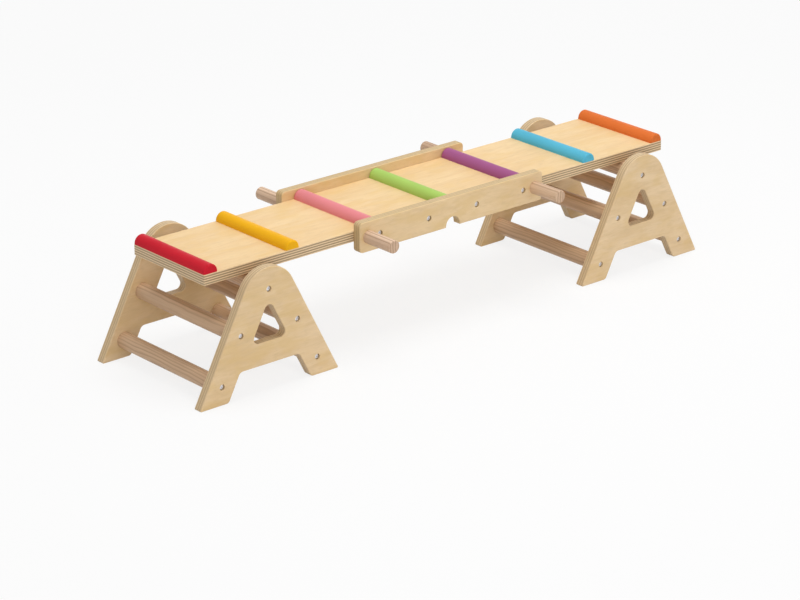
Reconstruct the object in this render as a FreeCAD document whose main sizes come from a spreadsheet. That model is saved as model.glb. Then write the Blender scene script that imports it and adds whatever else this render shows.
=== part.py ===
import FreeCAD, Part
import math
import os
import re
import Sketcher
from FreeCAD import Placement, Rotation, Vector

# A toddlers' balance rocker set out as a bridge: a plywood board with painted grip strips lies on the
# top dowels of two A-frame trestles. +X runs along the board, +Y to the rear, +Z up from the floor, and
# the origin is on the floor under the middle of the board. All lengths are in millimetres.

doc = FreeCAD.newDocument("BalanceRocker")
sizes = doc.addObject("Spreadsheet::Sheet", "Sizes")

# Driving dimensions, one cell each
driving_sizes = {
    # Board
    "board_length": 1100,
    "board_width": 200,
    "board_thickness": 20,
    "board_corner_radius": 2,
    "board_edge_radius": 1,
    # Painted half-round grip strips
    "strip_width": 30,
    "strip_height": 16,
    "strip_end_radius": 3,
    # Cheeks bolted to the long edges of the board
    "cheek_length": 440,
    "cheek_thickness": 18,
    "cheek_rise": 18.2,
    "cheek_drop": 18.3,
    "cheek_corner_radius": 8,
    "cheek_edge_radius": 2,
    "notch_clearance": 1,
    "notch_lip_radius": 1.5,
    # Peg handles in the cheeks
    "handle_diameter": 24,
    "handle_length": 70,
    "handle_end_radius": 2,
    "handle_inset": 20,
    "tenon_diameter": 16,
    "tenon_length": 16,
    # Trestles and their A-shaped sides
    "trestle_inset": 100,
    "trestle_height": 227,
    "side_thickness": 18,
    "side_clearance": 14.5,
    "side_edge_radius": 1.5,
    "crown_radius": 58,
    "foot_span": 306,
    "foot_width": 62,
    "foot_outer_radius": 2,
    "foot_inner_radius": 8,
    "arch_height": 50,
    "arch_corner_radius": 10,
    "hole_bottom_height": 92,
    "hole_apex_height": 170,
    "hole_corner_radius": 10,
    # Dowels between the sides
    "dowel_diameter": 30,
    "socket_depth": 4,
    "top_dowel_height": 187,
    "middle_dowel_height": 116,
    "lower_dowel_height": 33.5,
    "seat_gap": 0.3,
    # Socket-head bolts, threaded inserts and barrel nuts
    "bolt_diameter": 6,
    "bolt_head_diameter": 10,
    "bolt_head_height": 4,
    "bolt_head_bevel": 0.8,
    "bolt_recess": 6,
    "bolt_bite": 16,
    "bolt_tail": 8,
    "key_diameter": 5.8,
    "key_depth": 2.5,
    "insert_diameter": 10,
    "insert_length": 20,
    "barrel_nut_diameter": 10,
    "barrel_nut_length": 14,
    "barrel_nut_inset": 32,
    "cheek_bolt_inset": 47.5,
    # Screws that hold the strips from below
    "screw_diameter": 4,
    "screw_head_diameter": 8,
    "screw_head_height": 3,
    "screw_head_bevel": 0.6,
    "screw_recess": 3.4,
    "screw_bite": 10,
    "screw_spacing": 80,
    "screw_key_diameter": 3.6,
    "screw_key_depth": 1.6,
    # Clearances between a fastener or a rod and its hole, all around
    "fit_clearance": 0.1,
    "hole_clearance": 0.3,
    "head_clearance": 0.5,
    "drill_overrun": 2,
}
for row, (alias, length) in enumerate(driving_sizes.items(), start=1):
    sizes.set(f"A{row}", alias.replace("_", " "))
    sizes.set(f"B{row}", str(length))
    sizes.setAlias(f"B{row}", alias)
doc.recompute()

# Places and fits that several pieces share, in the sheet's words
BOARD_UNDERSIDE = "(top_dowel_height + dowel_diameter / 2 + seat_gap)"
BOARD_MIDDLE = f"({BOARD_UNDERSIDE} + board_thickness / 2)"
CHEEK_FACE = "(board_width / 2 + cheek_thickness)"
HANDLE_PLACE = "(cheek_length / 2 - handle_inset)"
TRESTLE_PLACE = "(board_length / 2 - trestle_inset)"
SIDE_INNER_FACE = f"({CHEEK_FACE} + side_clearance)"
SIDE_OUTER_FACE = f"({SIDE_INNER_FACE} + side_thickness)"
DOWEL_END = f"({SIDE_INNER_FACE} + socket_depth)"
NOTCH_RADIUS = "(dowel_diameter / 2 + notch_clearance)"
CROWN_CENTRE = "(trestle_height - crown_radius)"

# Run of a trestle's leg to its rise: its outer flank is tangent to the crown
CROWN_TO_FOOT = f"sqrt((foot_span / 2)^2 + {CROWN_CENTRE}^2)"
LEG_LEAN = f"tan(atan(foot_span / 2 / {CROWN_CENTRE}) - asin(crown_radius / {CROWN_TO_FOOT}))"

STRIP_COLOURS = ("red", "yellow", "pink", "green", "purple", "blue", "orange")
STRIP_PITCH = f"((board_length - strip_width) / {len(STRIP_COLOURS) - 1})"
END_BOLT_PLACE = "(cheek_length / 2 - cheek_bolt_inset)"
CHEEK_BOLT_SHARES = (-1, -1 / 3, 1 / 3, 1)
FRONT, REAR = -1, 1
LEFT, RIGHT = -1, 1

# Points nearer to each other than this are one corner
TOUCH = 0.001

nodes = []


def in_sheet(formula):
    """Return a formula in the sheet's words with each word pointing to its cell."""
    def cell(word):
        return f"Sizes.{word.group()}" if word.group() in driving_sizes else word.group()
    return re.sub(r"[a-z_]+", cell, str(formula))


def bind(target, **formulas):
    """Bind properties of an object to the sheet; a double underscore stands for a dot."""
    for name, formula in formulas.items():
        target.setExpression(name.replace("__", "."), in_sheet(formula))


def place(target, x=0, y=0, z=0, turn=Rotation()):
    """Turn an object about its own origin and bind where that origin lies."""
    target.Placement = Placement(Vector(), turn)
    bind(target, Placement__Base__x=x, Placement__Base__y=y, Placement__Base__z=z)


def node(target, label):
    """Name an object as one piece of the finished part."""
    target.Label = label
    nodes.append(target)
    return target


def facing(side):
    """Turn of a piece modelled for the front so that it serves its side."""
    return Rotation(Vector(0, 0, 1), 180 if side == REAR else 0)


# Sketches and features of a body


def new_body(name):
    return doc.addObject("PartDesign::Body", name)


def sketch_on(body, role, name, lift=0):
    """Add a sketch on one of the body's own origin planes, lifted along the plane's normal."""
    plane = next(feature for feature in body.Origin.OriginFeatures if feature.Role == role)
    sketch = body.newObject("Sketcher::SketchObject", f"{body.Name}_{name}")
    sketch.AttachmentSupport = [(plane, "")]
    sketch.MapMode = "FlatFace"
    bind(sketch, AttachmentOffset__Base__z=lift)
    return sketch


def measure(sketch, kind, formula, line, end=None):
    """Dimension a drawn radius, or a drawn point from the origin, and bind it to the sheet."""
    if kind == "Radius":
        dimension = Sketcher.Constraint(kind, line, sketch.Geometry[line].Radius)
    else:
        drawn = sketch.getPoint(line, end)
        length = drawn.x if kind == "DistanceX" else drawn.y
        dimension = Sketcher.Constraint(kind, -1, 1, line, end, length)
    index = sketch.addConstraint(dimension)
    sketch.setExpression(f"Constraints[{index}]", in_sheet(formula))


def pin_point(sketch, line, end, x=None, y=None):
    """Hold one end of a line at a distance from the sketch's origin."""
    if x is not None:
        measure(sketch, "DistanceX", x, line, end)
    if y is not None:
        measure(sketch, "DistanceY", y, line, end)


def join(sketch, kind, *ends):
    sketch.addConstraint(Sketcher.Constraint(kind, *ends))


def draw_circles(sketch, places, radius):
    """Draw equal circles centred on places given as pairs of formulas."""
    for across, along in places:
        circle = sketch.addGeometry(Part.Circle())
        measure(sketch, "Radius", radius, circle)
        pin_point(sketch, circle, 3, across, along)
    return sketch


def extrude(body, kind, sketch, length, backwards=False, symmetric=False):
    """Pad or pocket a sketch; a pocket has to take material away."""
    before = body.Shape.Volume if kind == "Pocket" else None
    feature = body.newObject(f"PartDesign::{kind}", f"{sketch.Name}_{kind.lower()}")
    feature.Profile = sketch
    feature.Reversed = backwards
    if symmetric:
        feature.SideType = "Symmetric"
    bind(feature, Length=length)
    doc.recompute()
    if kind == "Pocket" and not feature.Shape.Volume < before:
        raise RuntimeError(f"{feature.Name} cuts nothing")
    return feature


def drill(body, role, name, places, radius, depth, lift=0, backwards=False):
    """Cut equal round holes from a plane of the body."""
    sketch = draw_circles(sketch_on(body, role, name, lift), places, radius)
    return extrude(body, "Pocket", sketch, depth, backwards)


def fillet(body, name, edges, radius):
    """Round edges of the body's last feature, named by their index."""
    base = body.Tip
    feature = body.newObject("PartDesign::Fillet", f"{body.Name}_{name}")
    feature.Base = (base, [f"Edge{index}" for index in edges])
    bind(feature, Radius=radius)
    doc.recompute()
    if not feature.isValid():
        raise RuntimeError(f"{feature.Name} can't be rounded")
    return feature


def numbered_edges(body):
    return enumerate(body.Tip.Shape.Edges, start=1)


def corner_edges(body, corners):
    """Edges of a plate standing on the XZ plane that run through its thickness at sketch corners."""
    found = []
    for index, edge in numbered_edges(body):
        start, end = edge.Vertexes[0].Point, edge.Vertexes[-1].Point
        through = edge.Length - abs(end.y - start.y) < TOUCH
        if through and any(abs(start.x - c.x) < TOUCH and abs(start.z - c.y) < TOUCH for c in corners):
            found.append(index)
    return found


def face_rims(body):
    """Edges that lie in the front or rear face of a plate standing on the XZ plane."""
    depths = [vertex.Y for vertex in body.Tip.Shape.Vertexes]
    found = []
    for index, edge in numbered_edges(body):
        along = [edge.valueAt(parameter).y for parameter in edge.ParameterRange]
        if any(all(abs(y - face) < TOUCH for y in along) for face in (min(depths), max(depths))):
            found.append(index)
    return found


# Fasteners: one of each kind is made along +Z and linked to all its places


def cylinder(name, radius, height, y=0, z=0, turn=Rotation()):
    rod = doc.addObject("Part::Cylinder", name)
    bind(rod, Radius=radius, Height=height)
    place(rod, 0, y, z, turn)
    return rod


def cut(name, base, tool):
    result = doc.addObject("Part::Cut", name)
    result.Base = base
    result.Tool = tool
    return result


def socket_bolt(name, diameter, length, head_diameter, head_height, bevel, key_diameter, key_depth):
    """A bolt with its shank along +Z and a bevelled round head with a hexagon socket below zero."""
    shank = cylinder(f"{name}_shank", f"{diameter} / 2", length)
    head = cylinder(f"{name}_head", f"{head_diameter} / 2", f"{head_height} - {bevel}",
                    z=f"{bevel} - {head_height}")
    rim = doc.addObject("Part::Cone", f"{name}_rim")
    bind(rim, Radius1=f"{head_diameter} / 2 - {bevel}", Radius2=f"{head_diameter} / 2", Height=bevel)
    place(rim, z=f"-{head_height}")
    whole = doc.addObject("Part::MultiFuse", f"{name}_whole")
    whole.Shapes = [rim, head, shank]
    whole.Refine = True
    key = doc.addObject("Part::Prism", f"{name}_key")
    key.Polygon = 6
    bind(key, Circumradius=f"{key_diameter} / 2", Height=key_depth)
    place(key, z=f"-{head_height}")
    return cut(name, whole, key)


def group(master, label, places, turn=Rotation()):
    """A node of like fasteners, each a link to the master at its own place."""
    links = []
    for number, (x, y, z) in enumerate(places, start=1):
        link = doc.addObject("App::Link", f"{label}_{number}")
        link.LinkedObject = master
        place(link, x, y, z, turn)
        links.append(link)
    compound = doc.addObject("Part::Compound", f"{label}_group")
    compound.Links = links
    return node(compound, label)


def along_y(side):
    """Turn that points a fastener made along +Z into the part from its front or rear."""
    return Rotation(Vector(1, 0, 0), 90 * side)


trestle_bolt = socket_bolt(
    "trestle_bolt", "bolt_diameter", "side_thickness - bolt_recess - socket_depth + bolt_bite",
    "bolt_head_diameter", "bolt_head_height", "bolt_head_bevel", "key_diameter", "key_depth")
cheek_bolt = socket_bolt(
    "cheek_bolt", "bolt_diameter", "cheek_thickness - bolt_recess + barrel_nut_inset + bolt_tail",
    "bolt_head_diameter", "bolt_head_height", "bolt_head_bevel", "key_diameter", "key_depth")
strip_screw = socket_bolt(
    "strip_screw", "screw_diameter", "board_thickness - screw_recess + screw_bite",
    "screw_head_diameter", "screw_head_height", "screw_head_bevel",
    "screw_key_diameter", "screw_key_depth")
threaded_insert = cut(
    "threaded_insert", cylinder("insert_sleeve", "insert_diameter / 2", "insert_length"),
    cylinder("insert_bore", "bolt_diameter / 2 + fit_clearance", "insert_length"))
barrel_nut = cut(
    "barrel_nut",
    cylinder("nut_rod", "barrel_nut_diameter / 2", "barrel_nut_length", z="-barrel_nut_length / 2"),
    cylinder("nut_bore", "bolt_diameter / 2 + fit_clearance", "2 * barrel_nut_diameter",
             y="barrel_nut_diameter", turn=along_y(REAR)))


# Board: a plywood plank, drilled from below for the strip screws and barrel nuts and from its long
# edges for the cheek bolts


def strip_place(number):
    return f"(strip_width / 2 - board_length / 2 + {number} * {STRIP_PITCH})"


cheek_bolt_places = [f"({share} * {END_BOLT_PLACE})" for share in CHEEK_BOLT_SHARES]
strip_places = [strip_place(number) for number in range(len(STRIP_COLOURS))]
screw_rows = [f"({side} * screw_spacing / 2)" for side in (FRONT, REAR)]
screw_places = [(x, y) for x in strip_places for y in screw_rows]
nut_rows = [f"({side} * (board_width / 2 - barrel_nut_inset))" for side in (FRONT, REAR)]
nut_places = [(x, y) for x in cheek_bolt_places for y in nut_rows]

board = node(new_body("Board"), "board")
plank = sketch_on(board, "XY_Plane", "plank")
half_length, half_width = sizes.board_length / 2, sizes.board_width / 2
plank_corners = [Vector(-half_length, -half_width), Vector(half_length, -half_width),
                 Vector(half_length, half_width), Vector(-half_length, half_width)]
for number, corner in enumerate(plank_corners):
    plank.addGeometry(Part.LineSegment(corner, plank_corners[(number + 1) % 4]))
for number in range(4):
    join(plank, "Coincident", number, 2, (number + 1) % 4, 1)
    join(plank, "Horizontal" if number % 2 == 0 else "Vertical", number)
pin_point(plank, 0, 1, "-board_length / 2", "-board_width / 2")
pin_point(plank, 2, 1, "board_length / 2", "board_width / 2")
extrude(board, "Pad", plank, "board_thickness")
fillet(board, "corners", [index for index, edge in numbered_edges(board)
                          if edge.BoundBox.ZLength > edge.Length / 2], "board_corner_radius")
fillet(board, "rims", [index for index, edge in numbered_edges(board)
                       if edge.BoundBox.ZLength < edge.Length / 2], "board_edge_radius")
drill(board, "XY_Plane", "screw_holes", screw_places, "screw_diameter / 2 + hole_clearance",
      "board_thickness", backwards=True)
drill(board, "XY_Plane", "screw_recesses", screw_places, "screw_head_diameter / 2 + head_clearance",
      "screw_recess", backwards=True)
drill(board, "XY_Plane", "nut_holes", nut_places, "barrel_nut_diameter / 2 + fit_clearance",
      "board_thickness / 2 + barrel_nut_length / 2", backwards=True)
for side, edge_name in ((FRONT, "front_bolt_holes"), (REAR, "rear_bolt_holes")):
    drill(board, "XZ_Plane", edge_name, [(x, "board_thickness / 2") for x in cheek_bolt_places],
          "bolt_diameter / 2 + hole_clearance", "barrel_nut_inset + bolt_tail + drill_overrun",
          f"{-side} * board_width / 2", side == REAR)
place(board, z=BOARD_UNDERSIDE)

# Grip strips: half-round painted battens across the board, evenly spaced from end to end, each held by
# two screws from below


def grip_strip(number, colour):
    strip = node(new_body(f"Strip_{colour}"), f"grip_strip_{colour}")
    profile = sketch_on(strip, "XZ_Plane", "profile")
    half, flank = sizes.strip_width / 2, sizes.strip_height - sizes.strip_width / 2
    profile.addGeometry([
        Part.LineSegment(Vector(-half, 0), Vector(half, 0)),
        Part.LineSegment(Vector(half, 0), Vector(half, flank)),
        Part.Arc(Vector(half, flank), Vector(0, sizes.strip_height), Vector(-half, flank)),
        Part.LineSegment(Vector(-half, flank), Vector(-half, 0))])
    join(profile, "Coincident", 0, 2, 1, 1)
    join(profile, "Coincident", 3, 2, 0, 1)
    join(profile, "Tangent", 1, 2, 2, 1)
    join(profile, "Tangent", 2, 2, 3, 1)
    join(profile, "Horizontal", 0)
    join(profile, "Vertical", 1)
    join(profile, "Vertical", 3)
    pin_point(profile, 0, 1, "-strip_width / 2", 0)
    pin_point(profile, 0, 2, "strip_width / 2")
    pin_point(profile, 2, 3, y="strip_height - strip_width / 2")
    extrude(strip, "Pad", profile, "board_width", symmetric=True)
    ends = [index for index, edge in numbered_edges(strip)
            if edge.BoundBox.YLength < TOUCH < edge.BoundBox.ZMax]
    fillet(strip, "ends", ends, "strip_end_radius")
    drill(strip, "XY_Plane", "pilot_holes", [(0, y) for y in screw_rows],
          "screw_diameter / 2 + fit_clearance", "screw_bite + drill_overrun", backwards=True)
    place(strip, strip_place(number), 0, f"{BOARD_UNDERSIDE} + board_thickness")


for number, colour in enumerate(STRIP_COLOURS):
    grip_strip(number, colour)
group(strip_screw, "strip_screws",
      [(x, y, f"{BOARD_UNDERSIDE} + screw_recess") for x, y in screw_places])

# Cheeks: plywood rails on the long edges of the board, notched in the middle of the lower edge so that
# the board can rock on a trestle's top dowel. The sketch stands on the inner face, level with the
# underside of the board


def cheek(side, label):
    rail = node(new_body(f"Cheek_{label}"), label)
    outline = sketch_on(rail, "XZ_Plane", "outline")
    half = sizes.cheek_length / 2
    low, high = -sizes.cheek_drop, sizes.board_thickness + sizes.cheek_rise
    notch = sizes.dowel_diameter / 2 + sizes.notch_clearance
    points = [Vector(-half, low), Vector(-notch, low), Vector(-notch, -notch), Vector(notch, -notch),
              Vector(notch, low), Vector(half, low), Vector(half, high), Vector(-half, high)]
    for number, point in enumerate(points):
        following = points[(number + 1) % len(points)]
        if number == 2:
            outline.addGeometry(Part.Arc(following, Vector(), point))
        else:
            outline.addGeometry(Part.LineSegment(point, following))
    for number, following in ((0, 1), (3, 4), (4, 5), (5, 6), (6, 7), (7, 0)):
        join(outline, "Coincident", number, 2, following, 1)
    join(outline, "Tangent", 1, 2, 2, 2)
    join(outline, "Tangent", 2, 1, 3, 1)
    for line in (0, 4, 6):
        join(outline, "Horizontal", line)
    for line in (1, 3, 5, 7):
        join(outline, "Vertical", line)
    pin_point(outline, 0, 1, "-cheek_length / 2", "-cheek_drop")
    pin_point(outline, 4, 2, "cheek_length / 2", "-cheek_drop")
    pin_point(outline, 6, 1, y="board_thickness + cheek_rise")
    join(outline, "PointOnObject", 2, 3, -2)
    pin_point(outline, 2, 3, y=f"-{NOTCH_RADIUS}")
    measure(outline, "Radius", NOTCH_RADIUS, 2)
    extrude(rail, "Pad", outline, "cheek_thickness")
    outer_corners = [points[index] for index in (0, 5, 6, 7)]
    fillet(rail, "corners", corner_edges(rail, outer_corners), "cheek_corner_radius")
    fillet(rail, "notch_lips", corner_edges(rail, [points[1], points[4]]), "notch_lip_radius")
    fillet(rail, "rims", face_rims(rail), "cheek_edge_radius")
    bolt_places = [(x, "board_thickness / 2") for x in cheek_bolt_places]
    drill(rail, "XZ_Plane", "bolt_holes", bolt_places, "bolt_diameter / 2 + hole_clearance",
          "cheek_thickness", backwards=True)
    drill(rail, "XZ_Plane", "bolt_recesses", bolt_places, "bolt_head_diameter / 2 + head_clearance",
          "bolt_recess", "cheek_thickness")
    tenon_places = [(f"{end} * {HANDLE_PLACE}", "board_thickness / 2") for end in (LEFT, RIGHT)]
    drill(rail, "XZ_Plane", "tenon_holes", tenon_places, "tenon_diameter / 2 + fit_clearance",
          "tenon_length", "cheek_thickness")
    place(rail, 0, f"{side} * board_width / 2", BOARD_UNDERSIDE, facing(side))


# Handles: turned pegs with a rounded end, glued by a tenon into the cheeks


def handle(side, end, label):
    peg = node(new_body(f"Peg_{label}"), label)
    grip = draw_circles(sketch_on(peg, "XZ_Plane", "grip"), [(0, 0)], "handle_diameter / 2")
    extrude(peg, "Pad", grip, "handle_length")
    outer_rim = [index for index, edge in numbered_edges(peg)
                 if edge.BoundBox.YMax < -sizes.handle_length / 2]
    fillet(peg, "end", outer_rim, "handle_end_radius")
    tenon = draw_circles(sketch_on(peg, "XZ_Plane", "tenon"), [(0, 0)], "tenon_diameter / 2")
    extrude(peg, "Pad", tenon, "tenon_length", backwards=True)
    place(peg, f"{end} * {HANDLE_PLACE}", f"{side} * {CHEEK_FACE}", BOARD_MIDDLE, facing(side))


for side, side_name in ((FRONT, "front"), (REAR, "rear")):
    cheek(side, f"{side_name}_cheek")
    for end, end_name in ((LEFT, "left"), (RIGHT, "right")):
        handle(side, end, f"{side_name}_{end_name}_handle")
    group(cheek_bolt, f"{side_name}_cheek_bolts",
          [(x, f"{side} * ({CHEEK_FACE} - bolt_recess)", BOARD_MIDDLE) for x in cheek_bolt_places],
          along_y(side))
group(barrel_nut, "barrel_nuts", [(x, y, BOARD_MIDDLE) for x, y in nut_places])

# Trestles: two A-shaped plywood sides held apart by five dowels, which seat in shallow sockets and are
# drawn tight by bolts into threaded inserts


def rungs(trestle_end):
    """Name, offset along X and height of each dowel of a trestle; four lie in the middle of a leg."""
    rows = [("top", 0, "top_dowel_height")]
    for row, height in (("middle", "middle_dowel_height"), ("lower", "lower_dowel_height")):
        leg_middle = f"((foot_span - foot_width) / 2 - {height} * {LEG_LEAN})"
        rows.append((f"{row}_outer", f"{trestle_end} * {leg_middle}", height))
        rows.append((f"{row}_inner", f"{-trestle_end} * {leg_middle}", height))
    return rows


def trestle_side(side, centre, places, label):
    plate = node(new_body(f"Side_{label}"), label)
    outline = sketch_on(plate, "XZ_Plane", "outline")
    outer, inner = sizes.foot_span / 2, sizes.foot_span / 2 - sizes.foot_width
    centre_height = sizes.trestle_height - sizes.crown_radius
    flank_turn = math.asin(sizes.crown_radius / math.hypot(outer, centre_height))
    lean = math.tan(math.atan(outer / centre_height) - flank_turn)
    arch = inner - sizes.arch_height * lean
    hole = (sizes.hole_apex_height - sizes.hole_bottom_height) * lean
    shoulder = Vector(sizes.crown_radius, centre_height)
    points = [Vector(-outer, 0), Vector(-inner, 0), Vector(-arch, sizes.arch_height),
              Vector(arch, sizes.arch_height), Vector(inner, 0), Vector(outer, 0), shoulder,
              Vector(-shoulder.x, shoulder.y)]
    for number in range(6):
        outline.addGeometry(Part.LineSegment(points[number], points[number + 1]))
    outline.addGeometry(Part.Arc(points[6], Vector(0, sizes.trestle_height), points[7]))
    outline.addGeometry(Part.LineSegment(points[7], points[0]))
    for number in range(5):
        join(outline, "Coincident", number, 2, number + 1, 1)
    join(outline, "Tangent", 5, 2, 6, 1)
    join(outline, "Tangent", 6, 2, 7, 1)
    join(outline, "Coincident", 7, 2, 0, 1)
    pin_point(outline, 0, 1, "-foot_span / 2", 0)
    pin_point(outline, 0, 2, "foot_width - foot_span / 2", 0)
    pin_point(outline, 4, 1, "foot_span / 2 - foot_width", 0)
    pin_point(outline, 4, 2, "foot_span / 2", 0)
    pin_point(outline, 2, 1, y="arch_height")
    pin_point(outline, 2, 2, y="arch_height")
    join(outline, "Parallel", 1, 7)
    join(outline, "Parallel", 3, 5)
    join(outline, "PointOnObject", 6, 3, -2)
    pin_point(outline, 6, 3, y=CROWN_CENTRE)
    measure(outline, "Radius", "crown_radius", 6)
    # Triangular hole with its flanks parallel to the legs
    apex = Vector(0, sizes.hole_apex_height)
    hole_points = [Vector(-hole, sizes.hole_bottom_height), Vector(hole, sizes.hole_bottom_height), apex]
    for number in range(3):
        outline.addGeometry(Part.LineSegment(hole_points[number], hole_points[(number + 1) % 3]))
    for number in range(3):
        join(outline, "Coincident", 8 + number, 2, 8 + (number + 1) % 3, 1)
    join(outline, "PointOnObject", 10, 1, -2)
    pin_point(outline, 10, 1, y="hole_apex_height")
    pin_point(outline, 8, 1, y="hole_bottom_height")
    pin_point(outline, 8, 2, y="hole_bottom_height")
    join(outline, "Parallel", 9, 5)
    join(outline, "Parallel", 10, 7)
    extrude(plate, "Pad", outline, "side_thickness")
    solved = [line.StartPoint for line in outline.Geometry]
    fillet(plate, "outer_feet", corner_edges(plate, [solved[0], solved[5]]), "foot_outer_radius")
    fillet(plate, "inner_feet", corner_edges(plate, [solved[1], solved[4]]), "foot_inner_radius")
    fillet(plate, "arch_corners", corner_edges(plate, [solved[2], solved[3]]), "arch_corner_radius")
    fillet(plate, "hole_corners", corner_edges(plate, solved[8:]), "hole_corner_radius")
    fillet(plate, "rims", face_rims(plate), "side_edge_radius")
    drill(plate, "XZ_Plane", "dowel_sockets", places, "dowel_diameter / 2 + fit_clearance",
          "socket_depth", backwards=True)
    drill(plate, "XZ_Plane", "bolt_holes", places, "bolt_diameter / 2 + hole_clearance",
          "side_thickness", backwards=True)
    drill(plate, "XZ_Plane", "bolt_recesses", places, "bolt_head_diameter / 2 + head_clearance",
          "bolt_recess", "side_thickness")
    place(plate, centre, f"{side} * {SIDE_INNER_FACE}", 0, facing(side))


def dowel(x, height, label):
    rod = node(new_body(f"Rod_{label}"), label)
    section = draw_circles(sketch_on(rod, "XZ_Plane", "section"), [(0, 0)], "dowel_diameter / 2")
    extrude(rod, "Pad", section, f"2 * {DOWEL_END}", symmetric=True)
    for side, end_name in ((FRONT, "front_bore"), (REAR, "rear_bore")):
        drill(rod, "XZ_Plane", end_name, [(0, 0)], "insert_diameter / 2 + fit_clearance",
              "insert_length", f"{-side} * {DOWEL_END}", side == REAR)
    place(rod, x, 0, height)


for trestle_end, trestle_name in ((LEFT, "left_trestle"), (RIGHT, "right_trestle")):
    centre = f"({trestle_end} * {TRESTLE_PLACE})"
    rows = rungs(trestle_end)
    for row_name, offset, height in rows:
        dowel(f"{centre} + {offset}", height, f"{trestle_name}_{row_name}_dowel")
    for side, side_name in ((FRONT, "front"), (REAR, "rear")):
        places = [(f"{-side} * {offset}", height) for _, offset, height in rows]
        trestle_side(side, centre, places, f"{trestle_name}_{side_name}_side")
        bolt_seat = f"{side} * ({SIDE_OUTER_FACE} - bolt_recess)"
        insert_seat = f"{side} * {DOWEL_END}"
        group(trestle_bolt, f"{trestle_name}_{side_name}_bolts",
              [(f"{centre} + {offset}", bolt_seat, height) for _, offset, height in rows],
              along_y(side))
        group(threaded_insert, f"{trestle_name}_{side_name}_inserts",
              [(f"{centre} + {offset}", insert_seat, height) for _, offset, height in rows],
              along_y(side))

doc.recompute()

# Nothing is written unless every object and every piece is sound
for thing in doc.Objects:
    if {"Invalid", "Error"} & set(thing.State):
        raise RuntimeError(f"{thing.Name} is {thing.State}")
for piece in nodes:
    if piece.Shape.isNull() or not piece.Shape.isValid():
        raise RuntimeError(f"{piece.Label} has no valid shape")

os.makedirs("parts", exist_ok=True)
for piece in nodes:
    piece.Shape.exportStep(f"parts/{piece.Label}.step")
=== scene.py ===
import math
import bpy
import bmesh
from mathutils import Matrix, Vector


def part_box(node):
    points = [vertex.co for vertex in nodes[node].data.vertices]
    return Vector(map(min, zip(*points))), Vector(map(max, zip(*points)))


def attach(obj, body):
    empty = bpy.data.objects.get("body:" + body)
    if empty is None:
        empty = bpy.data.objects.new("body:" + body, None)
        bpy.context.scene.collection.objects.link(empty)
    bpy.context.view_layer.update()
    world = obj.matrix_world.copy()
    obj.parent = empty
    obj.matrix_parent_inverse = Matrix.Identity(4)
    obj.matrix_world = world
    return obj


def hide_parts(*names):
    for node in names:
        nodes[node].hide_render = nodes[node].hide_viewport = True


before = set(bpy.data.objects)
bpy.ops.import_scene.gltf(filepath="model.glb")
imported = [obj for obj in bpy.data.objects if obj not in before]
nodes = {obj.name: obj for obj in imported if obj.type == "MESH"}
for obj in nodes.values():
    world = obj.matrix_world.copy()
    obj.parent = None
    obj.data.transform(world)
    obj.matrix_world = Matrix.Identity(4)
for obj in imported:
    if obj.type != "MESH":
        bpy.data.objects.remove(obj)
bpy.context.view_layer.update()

# Board
# A plank of birch plywood with a pale rotary-cut face veneer, its grain along the board. The edges are
# sawn and lightly rounded, so the cross plies and the glue lines between them show all round.


def new_finish(name):
    """Start a material; return it with its node tree, its shader and its coordinates."""
    finish = bpy.data.materials.new(name)
    finish.use_nodes = True
    tree = finish.node_tree
    coordinates = tree.nodes.new("ShaderNodeTexCoord")
    return finish, tree, tree.nodes["Principled BSDF"], coordinates


def lay(tree, kind, inputs, output=0, **settings):
    """Add a node, link or type in its inputs, and return one of its outputs."""
    made = tree.nodes.new(f"ShaderNode{kind}")
    for setting, value in settings.items():
        setattr(made, setting, value)
    for key, value in inputs.items():
        if isinstance(value, bpy.types.NodeSocket):
            tree.links.new(value, made.inputs[key])
        else:
            made.inputs[key].default_value = value
    return made.outputs[output]


def reckon(tree, operation, first, second=0.0, third=0.0):
    """Add a piece of arithmetic on up to three values."""
    return lay(tree, "Math", {0: first, 1: second, 2: third}, operation=operation)


def ease(tree, value, low, high, start=0.0, end=1.0):
    """Carry a value from low..high over to start..end with soft ends."""
    return lay(tree, "MapRange", {"Value": value, 1: low, 2: high, 3: start, 4: end},
               interpolation_type="SMOOTHSTEP")


def stain(tree, share, bare, stained):
    """Mix two colours, or colour outputs, by a share."""
    bare, stained = [(*colour, 1.0) if isinstance(colour, tuple) else colour
                     for colour in (bare, stained)]
    return lay(tree, "Mix", {0: share, 6: bare, 7: stained}, output=2, data_type="RGBA")


def streaks(tree, place, per_metre, detail=2.0, distortion=0.0):
    """Noise drawn out along the grain: how often it changes along X, Y and Z, per metre."""
    drawn = lay(tree, "Mapping", {"Vector": place, "Scale": per_metre})
    return lay(tree, "TexNoise", {"Vector": drawn, "Scale": 1.0, "Detail": detail,
                                  "Distortion": distortion})


def relief(tree, shader, height, depth, strength):
    """Raise a surface by a height map, as deep as real grain."""
    bump = lay(tree, "Bump", {"Height": height, "Distance": depth, "Strength": strength})
    tree.links.new(bump, shader.inputs["Normal"])


def facing(tree, coordinates, axis):
    """How squarely a surface faces along an axis, either way, from 0 to 1."""
    along = lay(tree, "SeparateXYZ", {0: coordinates.outputs["Normal"]}, output=axis)
    return reckon(tree, "ABSOLUTE", along)


def varnish(shader, coat_roughness):
    """Set the thin satin varnish that all the bare wood has."""
    shader.inputs["Specular IOR Level"].default_value = 0.25
    shader.inputs["Coat Weight"].default_value = 0.08
    shader.inputs["Coat Roughness"].default_value = coat_roughness


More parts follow.
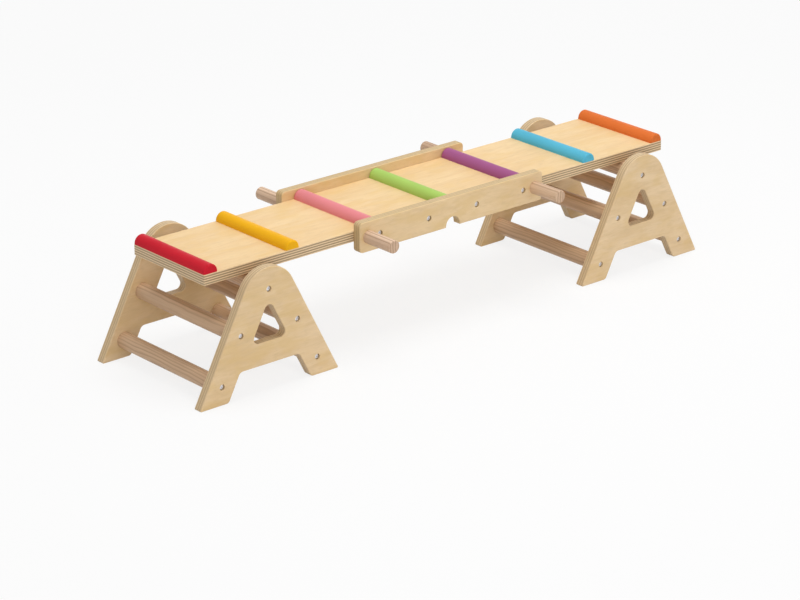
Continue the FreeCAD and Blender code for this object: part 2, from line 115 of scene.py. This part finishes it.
def plywood(name, thickness_axis, low_face, thickness, plies, pale, dark, sawn_pale, banding):
    """Plies across the thickness, with a pale face veneer outside and darker cross plies inside.

    Banding is how strongly the plies stand out on a sawn edge.
    """
    core_brown = (0.36, 0.245, 0.135)
    glue_brown = (0.16, 0.085, 0.035)
    deep = tuple(0.80 * value for value in dark)
    amber = (0.985 * dark[0], 0.96 * dark[1], 0.78 * dark[2])
    cross_axis = 3 - thickness_axis
    finish, tree, shader, coordinates = new_finish(name)
    place = coordinates.outputs["Object"]

    # Which ply a point lies in, with the plies a little uneven in thickness
    plies_per_metre = plies / thickness
    unevenness = 0.5
    inside_face = 0.01
    across = lay(tree, "SeparateXYZ", {0: place}, output=thickness_axis)
    uneven = streaks(tree, place, (9.0, 9.0, 9.0), detail=1.0)
    uneven = reckon(tree, "MULTIPLY_ADD", uneven, unevenness, -unevenness / 2)
    depth = reckon(tree, "MULTIPLY_ADD", across, plies_per_metre, -low_face * plies_per_metre)
    depth = reckon(tree, "ADD", depth, uneven)
    depth = lay(tree, "Clamp", {"Value": depth, "Min": inside_face, "Max": plies - inside_face})
    ply = reckon(tree, "FLOOR", depth)
    crosswise = reckon(tree, "MODULO", ply, 2.0)
    joint = reckon(tree, "ROUND", depth)
    joint = lay(tree, "Clamp", {"Value": joint, "Min": 1.0, "Max": plies - 1.0})
    from_joint = reckon(tree, "ABSOLUTE", reckon(tree, "SUBTRACT", depth, joint))
    glue = ease(tree, from_joint, 0.03, 0.16, 1.0, 0.0)

    # Grain of the face veneer: broad flames with narrow streaks, growth lines, fine fibres and short flecks
    flame_share = 0.7
    growth_lines = 26.0
    flames = streaks(tree, place, (5.0, 24.0, 24.0), detail=4.0, distortion=0.9)
    narrow = streaks(tree, place, (14.0, 130.0, 130.0), detail=3.0, distortion=0.4)
    swell = streaks(tree, place, (2.4, 12.0, 12.0), detail=1.5, distortion=0.7)
    fibres = streaks(tree, place, (60.0, 1100.0, 1100.0), detail=2.0)
    flecks = streaks(tree, place, (45.0, 140.0, 140.0), detail=2.0, distortion=0.5)
    figure = reckon(tree, "MULTIPLY_ADD", narrow, 1.0 - flame_share,
                    reckon(tree, "MULTIPLY", flames, flame_share))
    growth = reckon(tree, "PINGPONG", reckon(tree, "MULTIPLY", swell, growth_lines), 1.0)
    veneer = stain(tree, ease(tree, figure, 0.34, 0.68), pale, dark)
    veneer = stain(tree, ease(tree, growth, 0.55, 1.0, 0.0, 0.11), veneer, deep)
    veneer = stain(tree, ease(tree, fibres, 0.52, 0.76, 0.0, 0.3), veneer, deep)
    veneer = stain(tree, ease(tree, flecks, 0.48, 0.72, 0.0, 0.2), veneer, deep)

    # Cloudy patches where the varnish soaked in deeper
    soaked = streaks(tree, place, (18.0, 42.0, 42.0), detail=2.0)
    veneer = stain(tree, ease(tree, soaked, 0.42, 0.68, 0.0, 0.5), veneer, amber)

    # Sawn edges: cross plies are darker, each in its own tone, and end grain drinks the varnish
    tone = lay(tree, "TexWhiteNoise", {"W": ply}, noise_dimensions="1D")
    along_end = facing(tree, coordinates, 0)
    cross_end = facing(tree, coordinates, cross_axis)
    ends = lay(tree, "Mix", {0: crosswise, 2: along_end, 3: cross_end})
    pores = streaks(tree, place, (1500.0, 1500.0, 1500.0), detail=1.0)
    pored = reckon(tree, "MULTIPLY", ends, ease(tree, pores, 0.35, 0.7, 0.02, 0.3))
    browned = reckon(tree, "MULTIPLY_ADD", tone, 0.25 * banding, 0.75 * banding)
    browned = reckon(tree, "MULTIPLY", crosswise, browned)
    face = facing(tree, coordinates, thickness_axis)
    sawn = stain(tree, ease(tree, face, 0.2, 0.9, 0.7, 0.0), veneer, sawn_pale)
    sawn = stain(tree, browned, sawn, core_brown)
    sawn = stain(tree, pored, sawn, core_brown)
    sawn = stain(tree, reckon(tree, "MULTIPLY", glue, 0.55 * banding), sawn, glue_brown)
    tree.links.new(sawn, shader.inputs["Base Color"])

    # Satin varnish over fibres, glue lines and pores that can just be felt
    grain_depth = 0.0001
    tree.links.new(ease(tree, narrow, 0.2, 0.8, 0.42, 0.56), shader.inputs["Roughness"])
    varnish(shader, 0.32)
    height = reckon(tree, "MULTIPLY_ADD", fibres, 0.4, reckon(tree, "MULTIPLY", glue, -0.8))
    height = reckon(tree, "SUBTRACT", height, reckon(tree, "MULTIPLY", pored, 0.6))
    relief(tree, shader, height, grain_depth, 0.25)
    return finish


y_axis, z_axis = 1, 2
board_pale = (0.865, 0.633, 0.347)
board_dark = (0.81, 0.567, 0.291)
board_sawn = (0.85, 0.665, 0.445)
board_plies = 9
board_banding = 1.0
board_low, board_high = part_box("board")
board_ply = plywood("board_plywood", z_axis, board_low.z, board_high.z - board_low.z, board_plies,
                    board_pale, board_dark, board_sawn, board_banding)
nodes["board"].material_slots[0].material = board_ply

# Grip strips
# Half-round battens of planed softwood across the board, sprayed in satin paint that lets a little of the
# grain through. Each is screwed from below.
strip_colours = {
    "red": (0.615, 0.017, 0.032),
    "yellow": (0.90, 0.465, 0.012),
    "pink": (0.795, 0.255, 0.275),
    "green": (0.42, 0.63, 0.14),
    "purple": (0.39, 0.11, 0.27),
    "blue": (0.105, 0.48, 0.655),
    "orange": (0.77, 0.18, 0.038),
}


def satin_paint(name, colour):
    """Sprayed paint, a little mottled, with the batten's grain and an orange peel just showing."""
    paint_depth = 0.00015
    shade = tuple(0.84 * value for value in colour)
    finish, tree, shader, coordinates = new_finish(name)
    place = coordinates.outputs["Object"]
    mottle = streaks(tree, place, (25.0, 9.0, 25.0), detail=3.0)
    grain = streaks(tree, place, (420.0, 7.0, 420.0), detail=3.0, distortion=0.3)
    peel = streaks(tree, place, (1100.0, 1100.0, 1100.0), detail=1.0)
    coat = stain(tree, ease(tree, mottle, 0.35, 0.75, 0.0, 0.5), colour, shade)
    coat = stain(tree, ease(tree, grain, 0.58, 0.80, 0.0, 0.25), coat, shade)
    tree.links.new(coat, shader.inputs["Base Color"])
    tree.links.new(ease(tree, mottle, 0.25, 0.75, 0.30, 0.40), shader.inputs["Roughness"])
    shader.inputs["Specular IOR Level"].default_value = 0.05
    height = reckon(tree, "MULTIPLY_ADD", grain, 0.7, reckon(tree, "MULTIPLY", peel, 0.3))
    relief(tree, shader, height, paint_depth, 0.32)
    return finish


for colour_name, colour in strip_colours.items():
    strip = nodes[f"grip_strip_{colour_name}"]
    strip.material_slots[0].material = satin_paint(f"{colour_name}_paint", colour)

# Cheeks
# Rails of the same plywood on the long edges of the board, with rounded corners and a half-round notch
# below. Their face grain runs along them, and bolts hold them to the board.
cheek_pale = (0.812, 0.604, 0.356)
cheek_dark = (0.72, 0.512, 0.2715)
cheek_sawn = (0.645, 0.475, 0.236)
cheek_plies = 7
cheek_banding = 0.45
for side in ("front", "rear"):
    cheek_low, cheek_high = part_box(f"{side}_cheek")
    cheek_ply = plywood(f"{side}_cheek_plywood", y_axis, cheek_low.y, cheek_high.y - cheek_low.y,
                        cheek_plies, cheek_pale, cheek_dark, cheek_sawn, cheek_banding)
    nodes[f"{side}_cheek"].material_slots[0].material = cheek_ply

# Handles
# Turned pegs of hardwood, pinkish on the left and browner on the right, glued into the cheeks by a tenon.
# The growth layers run along them as streaks and show as lines on the sanded ends.


def timber(name, pith_x, pith_z, early, late, layers_per_metre, waves_per_metre, end_stain=0.0):
    """Hardwood whose growth layers lie round an axis along Y, the pith of the log it was sawn from.

    The layers waver along the grain, as often as the waves per metre say. The end stain is how much the
    end grain darkens as it drinks the varnish.
    """
    wander = 3.0
    fibre_depth = 0.0002
    middle = tuple((first + second) / 2 for first, second in zip(early, late))
    finish, tree, shader, coordinates = new_finish(name)
    place = coordinates.outputs["Object"]

    # Growth layers, each in its own tone, with a late band that ends sharply
    centred = lay(tree, "Mapping", {"Vector": place, "Location": (-pith_x, 0.0, -pith_z),
                                    "Scale": (1.0, 0.0, 1.0)})
    radius = lay(tree, "VectorMath", {0: centred}, output=1, operation="LENGTH")
    drift = streaks(tree, place, (13.0, waves_per_metre, 13.0), detail=3.0)
    layers = reckon(tree, "MULTIPLY", radius, layers_per_metre)
    layers = reckon(tree, "MULTIPLY_ADD", drift, wander, layers)
    fraction = reckon(tree, "FRACT", layers)
    tone = lay(tree, "TexWhiteNoise", {"W": reckon(tree, "FLOOR", layers)}, noise_dimensions="1D")
    rising = ease(tree, fraction, 0.38, 0.84)
    falling = ease(tree, fraction, 0.88, 1.0, 1.0, 0.0)
    band = reckon(tree, "MULTIPLY", rising, falling)
    band = reckon(tree, "MULTIPLY", band, reckon(tree, "MULTIPLY_ADD", tone, 0.5, 0.5))
    wood = stain(tree, tone, early, middle)
    wood = stain(tree, band, wood, late)

    # Fibres along the grain, short rays, and darker ends
    fibres = streaks(tree, place, (450.0, 6.0, 450.0), detail=4.0, distortion=0.2)
    rays = streaks(tree, place, (380.0, 90.0, 380.0), detail=1.0)
    wood = stain(tree, ease(tree, fibres, 0.42, 0.78, 0.0, 0.4), wood, late)
    wood = stain(tree, ease(tree, rays, 0.66, 0.80, 0.0, 0.35), wood, late)
    end_grain = facing(tree, coordinates, y_axis)
    wood = stain(tree, ease(tree, end_grain, 0.5, 0.9, 0.0, end_stain), wood, late)
    tree.links.new(wood, shader.inputs["Base Color"])
    tree.links.new(ease(tree, fibres, 0.2, 0.8, 0.42, 0.56), shader.inputs["Roughness"])
    varnish(shader, 0.22)
    relief(tree, shader, reckon(tree, "MULTIPLY_ADD", rays, -0.5, fibres), fibre_depth, 0.25)
    return finish


peg_early = {
    "front_left": (0.95, 0.705, 0.505),
    "rear_left": (0.95, 0.705, 0.505),
    "front_right": (0.765, 0.545, 0.367),
    "rear_right": (0.65, 0.45, 0.305),
}
peg_late = (0.36, 0.215, 0.13)
peg_end_stain = {"left": 0.37, "right": 0.0}
peg_pith_x = 0.0
peg_layers_per_metre = 170.0
peg_waves_per_metre = 1.6
for side in ("front", "rear"):
    for end in ("left", "right"):
        peg_name = f"{side}_{end}_handle"
        peg_low, peg_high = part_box(peg_name)
        peg_timber = timber(f"{peg_name}_timber", peg_pith_x, (peg_low.z + peg_high.z) / 2,
                            peg_early[f"{side}_{end}"], peg_late, peg_layers_per_metre,
                            peg_waves_per_metre, peg_end_stain[end])
        nodes[peg_name].material_slots[0].material = peg_timber

# Strip screws and barrel nuts
# Zinc-plated steel fasteners inside the board: the screws that hold the strips from below, and the barrel
# nuts, which sit in holes drilled from below and take the cheek bolts.


def plated_metal(name, tint):
    """Dull metal with cloudy patches and fine scratches."""
    scratch_depth = 0.00004
    worn = tuple(0.75 * value for value in tint)
    finish, tree, shader, coordinates = new_finish(name)
    place = coordinates.outputs["Object"]
    cloud = streaks(tree, place, (300.0, 300.0, 300.0), detail=3.0)
    scratches = streaks(tree, place, (2500.0, 400.0, 2500.0), detail=2.0)
    tree.links.new(stain(tree, ease(tree, cloud, 0.35, 0.7), tint, worn), shader.inputs["Base Color"])
    tree.links.new(ease(tree, scratches, 0.3, 0.7, 0.40, 0.55), shader.inputs["Roughness"])
    shader.inputs["Metallic"].default_value = 1.0
    relief(tree, shader, scratches, scratch_depth, 0.2)
    return finish


steel_tint = (0.87, 0.86, 0.88)
steel = plated_metal("zinc_plated_steel", steel_tint)
for fastener in ("strip_screws", "barrel_nuts"):
    nodes[fastener].material_slots[0].material = steel

# Cheek bolts
# Button-head bolts of zinc-plated steel with a hexagon socket, sunk in recesses of the cheeks and turned
# into the barrel nuts.
bolt_head_radius = 0.0053
bolt_head_height = 0.0034
bolt_head_seat = 0.004
bolt_head_sides = 48
bolt_dome = 0.0023
bolt_dome_steps = 8
bolt_shank_radius = 0.003
bolt_tip_bevel = 0.0008
bolt_key_radius = 0.0023
bolt_key_depth = 0.002
bolt_key_sides = 6
bolt_rim_bevel = 0.00015
bolt_rim_angle = math.radians(40.0)
bolt_smooth_angle = math.radians(35.0)
bolt_turn = math.radians(37.0)


def flat_face_at(mesh, height):
    """Select the one flat face of the mesh under edit that lies at a height."""
    level_tolerance = 1e-6
    bpy.ops.mesh.select_all(action="DESELECT")
    edited = bmesh.from_edit_mesh(mesh)
    for face in edited.faces:
        face.select = all(abs(corner.co.z - height) < level_tolerance for corner in face.verts)
    edited.select_flush(True)
    bmesh.update_edit_mesh(mesh)


def button_bolt(name, shank_length):
    """Model a bolt with its head below the floor level and its shank up the Z axis."""
    # Head and shank, with a bevelled tip and a domed head
    bpy.ops.object.select_all(action="DESELECT")
    bpy.ops.mesh.primitive_cylinder_add(vertices=bolt_head_sides, radius=bolt_head_radius,
                                        depth=bolt_head_height,
                                        location=(0.0, 0.0, -bolt_head_height / 2))
    bolt = bpy.context.object
    bolt.name = name
    bpy.ops.object.transform_apply(location=True, rotation=True, scale=True)
    bpy.ops.object.mode_set(mode="EDIT")
    bpy.ops.mesh.select_mode(type="FACE")
    flat_face_at(bolt.data, 0.0)
    bpy.ops.mesh.inset(thickness=bolt_head_radius - bolt_shank_radius)
    bpy.ops.mesh.extrude_region_move(TRANSFORM_OT_translate={"value": (0.0, 0.0, shank_length)})
    bpy.ops.mesh.bevel(offset=bolt_tip_bevel, segments=1, affect="EDGES")
    flat_face_at(bolt.data, -bolt_head_height)
    bpy.ops.mesh.bevel(offset=bolt_dome, segments=bolt_dome_steps, affect="EDGES")
    bpy.ops.object.mode_set(mode="OBJECT")

    # Hexagon socket, cut by a key, and softened rims
    bpy.ops.mesh.primitive_cylinder_add(vertices=bolt_key_sides, radius=bolt_key_radius,
                                        depth=2 * bolt_key_depth,
                                        location=(0.0, 0.0, -bolt_head_height))
    key = bpy.context.object
    bpy.ops.object.select_all(action="DESELECT")
    bolt.select_set(True)
    bpy.context.view_layer.objects.active = bolt
    socket = bolt.modifiers.new("socket", "BOOLEAN")
    socket.operation = "DIFFERENCE"
    socket.object = key
    bpy.ops.object.modifier_apply(modifier=socket.name)
    rims = bolt.modifiers.new("rims", "BEVEL")
    rims.width = bolt_rim_bevel
    rims.segments = 2
    rims.limit_method = "ANGLE"
    rims.angle_limit = bolt_rim_angle
    bpy.ops.object.modifier_apply(modifier=rims.name)
    bpy.data.objects.remove(key)
    bpy.ops.object.shade_smooth_by_angle(angle=bolt_smooth_angle)
    bolt.data.materials.append(steel)
    return bolt


def set_bolts(pattern, node, body, side, places):
    """Copy a bolt to each place of a side, head outwards, and join the copies as one piece."""
    low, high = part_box(node)
    outward = -1.0 if side == "front" else 1.0
    seat_y = (low.y if side == "front" else high.y) - outward * bolt_head_seat
    bolts = []
    for count, (x, z) in enumerate(places):
        bpy.ops.object.select_all(action="DESELECT")
        pattern.select_set(True)
        bpy.context.view_layer.objects.active = pattern
        bpy.ops.object.duplicate(linked=False)
        bolt = bpy.context.object
        bolt.rotation_euler = (outward * math.pi / 2, count * bolt_turn, 0.0)
        bolt.location = (x, seat_y, z)
        bpy.ops.object.transform_apply(location=True, rotation=True, scale=True)
        bolts.append(bolt)
    bpy.ops.object.select_all(action="DESELECT")
    for bolt in bolts:
        bolt.select_set(True)
    bpy.context.view_layer.objects.active = bolts[0]
    bpy.ops.object.join()
    piece = bpy.context.object
    piece.name = f"{node}_button_heads"
    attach(piece, body)
    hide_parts(node)


cheek_bolt_count = 4
bolts_low, bolts_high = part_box("front_cheek_bolts")
cheek_bolt = button_bolt("cheek_bolt", bolts_high.y - bolts_low.y - bolt_head_seat)
bolt_z = (bolts_low.z + bolts_high.z) / 2
head_reach = bolts_high.z - bolt_z
first_x = bolts_low.x + head_reach
spacing = (bolts_high.x - bolts_low.x - 2 * head_reach) / (cheek_bolt_count - 1)
cheek_bolt_places = [(first_x + step * spacing, bolt_z) for step in range(cheek_bolt_count)]
for side in ("front", "rear"):
    set_bolts(cheek_bolt, f"{side}_cheek_bolts", "board_assembly", side, cheek_bolt_places)
bpy.data.objects.remove(cheek_bolt)

# Trestle sides
# A-shaped plates routed from the same plywood, with the grain lengthwise, a triangular hand hole and an
# arch between the feet. The sawn edges are left square to the face and only eased.
trestles = ("left_trestle", "right_trestle")
side_pale = (0.812, 0.61, 0.378)
side_dark = (0.716, 0.511, 0.278)
side_sawn = (0.71, 0.533, 0.318)
side_plies = 7
side_banding = 0.5
for trestle in trestles:
    for side in ("front", "rear"):
        plate_name = f"{trestle}_{side}_side"
        plate_low, plate_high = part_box(plate_name)
        plate_ply = plywood(f"{plate_name}_plywood", y_axis, plate_low.y, plate_high.y - plate_low.y,
                            side_plies, side_pale, side_dark, side_sawn, side_banding)
        nodes[plate_name].material_slots[0].material = plate_ply

# Dowels
# Rods of brown hardwood, which hold the sides of a trestle apart. They are seated in shallow sockets of
# the sides and drawn tight by the trestle bolts.
rungs = ("top", "middle_outer", "middle_inner", "lower_outer", "lower_inner")
rung_early = (0.70, 0.482, 0.302)
rung_late = (0.44, 0.275, 0.163)
rung_layers_per_metre = 210.0
rung_waves_per_metre = 5.0
for trestle in trestles:
    trestle_low, trestle_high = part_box(f"{trestle}_front_side")
    rung_timber = timber(f"{trestle}_timber", (trestle_low.x + trestle_high.x) / 2,
                         (trestle_low.z + trestle_high.z) / 2, rung_early, rung_late,
                         rung_layers_per_metre, rung_waves_per_metre)
    for rung in rungs:
        nodes[f"{trestle}_{rung}_dowel"].material_slots[0].material = rung_timber

# Trestle bolts and inserts
# The same button-head bolts in recesses of the sides, turned into threaded brass inserts in the ends of
# the dowels.
brass_tint = (0.72, 0.52, 0.24)
brass = plated_metal("turned_brass", brass_tint)
bolts_low, bolts_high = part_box("left_trestle_front_bolts")
trestle_bolt = button_bolt("trestle_bolt", bolts_high.y - bolts_low.y - bolt_head_seat)
for trestle in trestles:
    rung_places = []
    for rung in rungs:
        rung_low, rung_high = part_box(f"{trestle}_{rung}_dowel")
        rung_places.append(((rung_low.x + rung_high.x) / 2, (rung_low.z + rung_high.z) / 2))
    for side in ("front", "rear"):
        set_bolts(trestle_bolt, f"{trestle}_{side}_bolts", trestle, side, rung_places)
        nodes[f"{trestle}_{side}_inserts"].material_slots[0].material = brass
bpy.data.objects.remove(trestle_bolt)

# Floor, light and camera
# A plain pale floor that keeps a soft shadow, broad lamps overhead and in front, and an even white
# surround.
floor_reach = 30.0
floor_grey = (0.86, 0.86, 0.86, 1.0)
fade_start = 1.0
fade_end = 5.0
near_white = 0.82
bpy.ops.object.select_all(action="DESELECT")
bpy.ops.mesh.primitive_plane_add(size=2 * floor_reach, location=(0.0, 0.0, 0.0))
floor = bpy.context.object
floor.name = "floor"
floor_finish, floor_tree, floor_shader, floor_coordinates = new_finish("pale_floor")
floor_shader.inputs["Base Color"].default_value = floor_grey
floor_shader.inputs["Roughness"].default_value = 0.9
floor_shader.inputs["Specular IOR Level"].default_value = 0.1


def seen_ray(tree):
    """Share that is one where the camera sees a surface, straight or in a reflection or through glass."""
    path = tree.nodes.new("ShaderNodeLightPath")
    mirrored = reckon(tree, "MAXIMUM", path.outputs["Is Glossy Ray"], path.outputs["Is Transmission Ray"])
    return reckon(tree, "MAXIMUM", path.outputs["Is Camera Ray"], mirrored)


# Near the part the camera sees a little of the shaded floor, and further out only white
floor_away = lay(floor_tree, "VectorMath", {0: floor_coordinates.outputs["Object"]}, output=1,
                 operation="LENGTH")
floor_white = ease(floor_tree, floor_away, fade_start, fade_end, near_white, 1.0)
floor_white = reckon(floor_tree, "MULTIPLY", seen_ray(floor_tree), floor_white)
floor_glow = lay(floor_tree, "Emission", {"Strength": 1.0})
floor_mix = lay(floor_tree, "MixShader", {0: floor_white, 1: floor_shader.outputs[0], 2: floor_glow})
floor_tree.links.new(floor_mix, floor_tree.nodes["Material Output"].inputs["Surface"])
floor.data.materials.append(floor_finish)

surround_strength = 0.54
world = bpy.data.worlds.new("studio")
bpy.context.scene.world = world
world.use_nodes = True
surround = world.node_tree.nodes["Background"]
strength = reckon(world.node_tree, "MULTIPLY_ADD", seen_ray(world.node_tree),
                  1.0 - surround_strength, surround_strength)
world.node_tree.links.new(strength, surround.inputs["Strength"])
surround.inputs["Color"].default_value = (1.0, 1.0, 1.0, 1.0)

lamp_aim = Vector((0.0, 0.0, 0.12))


def hang_lamp(name, place, size, energy):
    """Hang a square lamp of a size in metres and an energy in watts, turned to the part."""
    bpy.ops.object.light_add(type="AREA", location=place)
    lamp = bpy.context.object
    lamp.name = name
    lamp.data.size = size
    lamp.data.energy = energy
    lamp.rotation_euler = (lamp_aim - lamp.location).to_track_quat("-Z", "Y").to_euler()


hang_lamp("overhead_lamp", place=(0.3, -0.1, 3.2), size=1.8, energy=52.0)
hang_lamp("left_lamp", place=(-2.2, -3.8, 1.5), size=2.2, energy=30.0)
hang_lamp("right_lamp", place=(2.2, -3.8, 1.8), size=2.0, energy=17.5)

view_azimuth = math.radians(-40.855)
view_elevation = math.radians(21.518)
view_distance = 5.6226
view_aim = Vector((-0.01355, 0.01292, 0.0054))
view_back = Vector((math.sin(view_azimuth) * math.cos(view_elevation),
                    -math.cos(view_azimuth) * math.cos(view_elevation),
                    math.sin(view_elevation)))
bpy.ops.object.camera_add(location=view_aim + view_distance * view_back)
camera = bpy.context.object
camera.rotation_euler = (-view_back).to_track_quat("-Z", "Y").to_euler()
camera.data.sensor_width = 36.0
camera.data.lens = 136.63
camera.data.clip_end = 100.0
bpy.context.scene.camera = camera
bpy.context.scene.view_settings.view_transform = "Standard"
